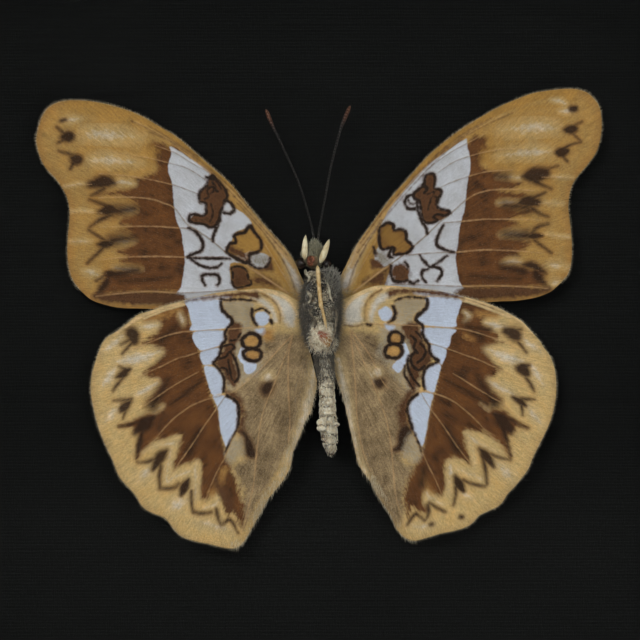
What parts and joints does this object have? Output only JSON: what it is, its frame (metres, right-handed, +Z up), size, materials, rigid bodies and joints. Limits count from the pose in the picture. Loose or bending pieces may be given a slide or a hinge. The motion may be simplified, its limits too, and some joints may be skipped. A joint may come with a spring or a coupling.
{
  "type": "framed butterfly specimen",
  "caption": "Brush-footed butterfly, spread and pinned underside out on a black ribbed-cloth board in a small glazed shadow-box frame.",
  "frame": {"origin": "middle of the footprint, on the underside of the bottom rail, halfway through the depth", "axes": "+Z up, -Y out of the glass towards the viewer, +X to the viewer's right"},
  "size_m": [0.15, 0.032, 0.15],
  "materials": {
    "frame_wood": "ebonised open-grain wood, satin, edges a little worn",
    "glazing": "clear picture glass, 2 mm",
    "spacer_card": "black card, matte",
    "backing_cloth": "near-black ribbed cloth with fine slubs, on board",
    "hardboard": "brown hardboard",
    "kraft_paper": "brown kraft dust paper, a little wrinkled",
    "steel": "zinc-plated steel",
    "rubber": "black rubber, matte",
    "forewing": "dry scaled membrane, ochre and brown with a lilac-white band",
    "hindwing": "dry scaled membrane, ochre and brown with a lilac-white band and two ringed spots",
    "body_hair": "dark hairy cuticle with grey-buff hair",
    "abdomen_scales": "flaky cream-white scales",
    "eye": "dark red-brown, faintly glossy",
    "palp": "cream scales, red-brown flanks",
    "tongue": "red-brown, glossy",
    "antenna": "dark brown shaft, pale tip to the club",
    "leg": "tan, finely scaled"
  },
  "bodies": {
    "root": {"rail_bottom": "frame_wood", "rail_left": "frame_wood", "rail_top": "frame_wood", "rail_right": "frame_wood", "glass": "glazing", "spacer_bottom": "spacer_card", "spacer_left": "spacer_card", "spacer_top": "spacer_card", "spacer_right": "spacer_card", "mount_board": "backing_cloth", "back_board": "hardboard", "dust_paper": "kraft_paper", "sawtooth_hanger": "steel", "hanger_nail_left": "steel", "hanger_nail_right": "steel", "insect_pin": "steel", "bumper_left": "rubber", "bumper_right": "rubber", "forewing_left": "forewing", "forewing_right": "forewing", "hindwing_left": "hindwing", "hindwing_right": "hindwing", "thorax": "body_hair", "head": "body_hair", "abdomen": "abdomen_scales", "eye_left": "eye", "eye_right": "eye", "palp_left": "palp", "palp_right": "palp", "proboscis": "tongue", "antenna_left": "antenna", "antenna_right": "antenna", "leg_fore_left": "leg", "leg_fore_right": "leg", "leg_mid_left": "leg", "leg_mid_right": "leg", "leg_hind_left": "leg", "leg_hind_right": "leg"}
  },
  "joints": []
}
